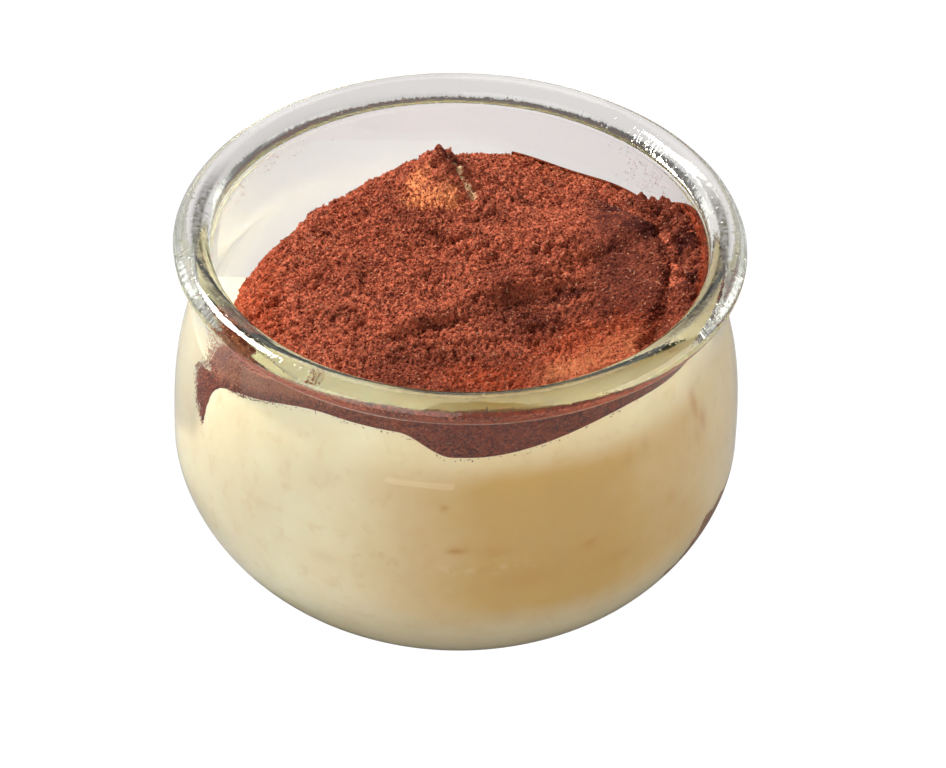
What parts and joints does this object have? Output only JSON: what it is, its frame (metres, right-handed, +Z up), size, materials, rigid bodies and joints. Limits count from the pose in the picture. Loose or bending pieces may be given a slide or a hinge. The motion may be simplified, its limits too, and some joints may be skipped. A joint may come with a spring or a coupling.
{
  "type": "tiramisu in a glass pot",
  "caption": "Single tiramisu portion in a squat round-bellied glass pot: pale cream over a coffee sponge, domed under a thick cocoa dusting with a small piped tip.",
  "frame": {"origin": "middle of the pot's base, at the height it rests on", "axes": "+Z up along the pot's axis, front of the pot towards -Y (the side where the powder line dips on the glass), +X to the right seen from the front"},
  "size_m": [0.0808, 0.0808, 0.0536],
  "materials": {
    "pot_glass": "clear smooth glass, slightly wavy at the rolled rim",
    "cream": "smooth whipped cream, satin",
    "sponge": "moist porous sponge soaked in coffee",
    "cocoa": "dry matte powder with fine clumps"
  },
  "bodies": {
    "root": {"glass_pot": "pot_glass", "mascarpone_cream": "cream", "coffee_sponge": "sponge", "cocoa_powder": "cocoa"}
  },
  "joints": []
}
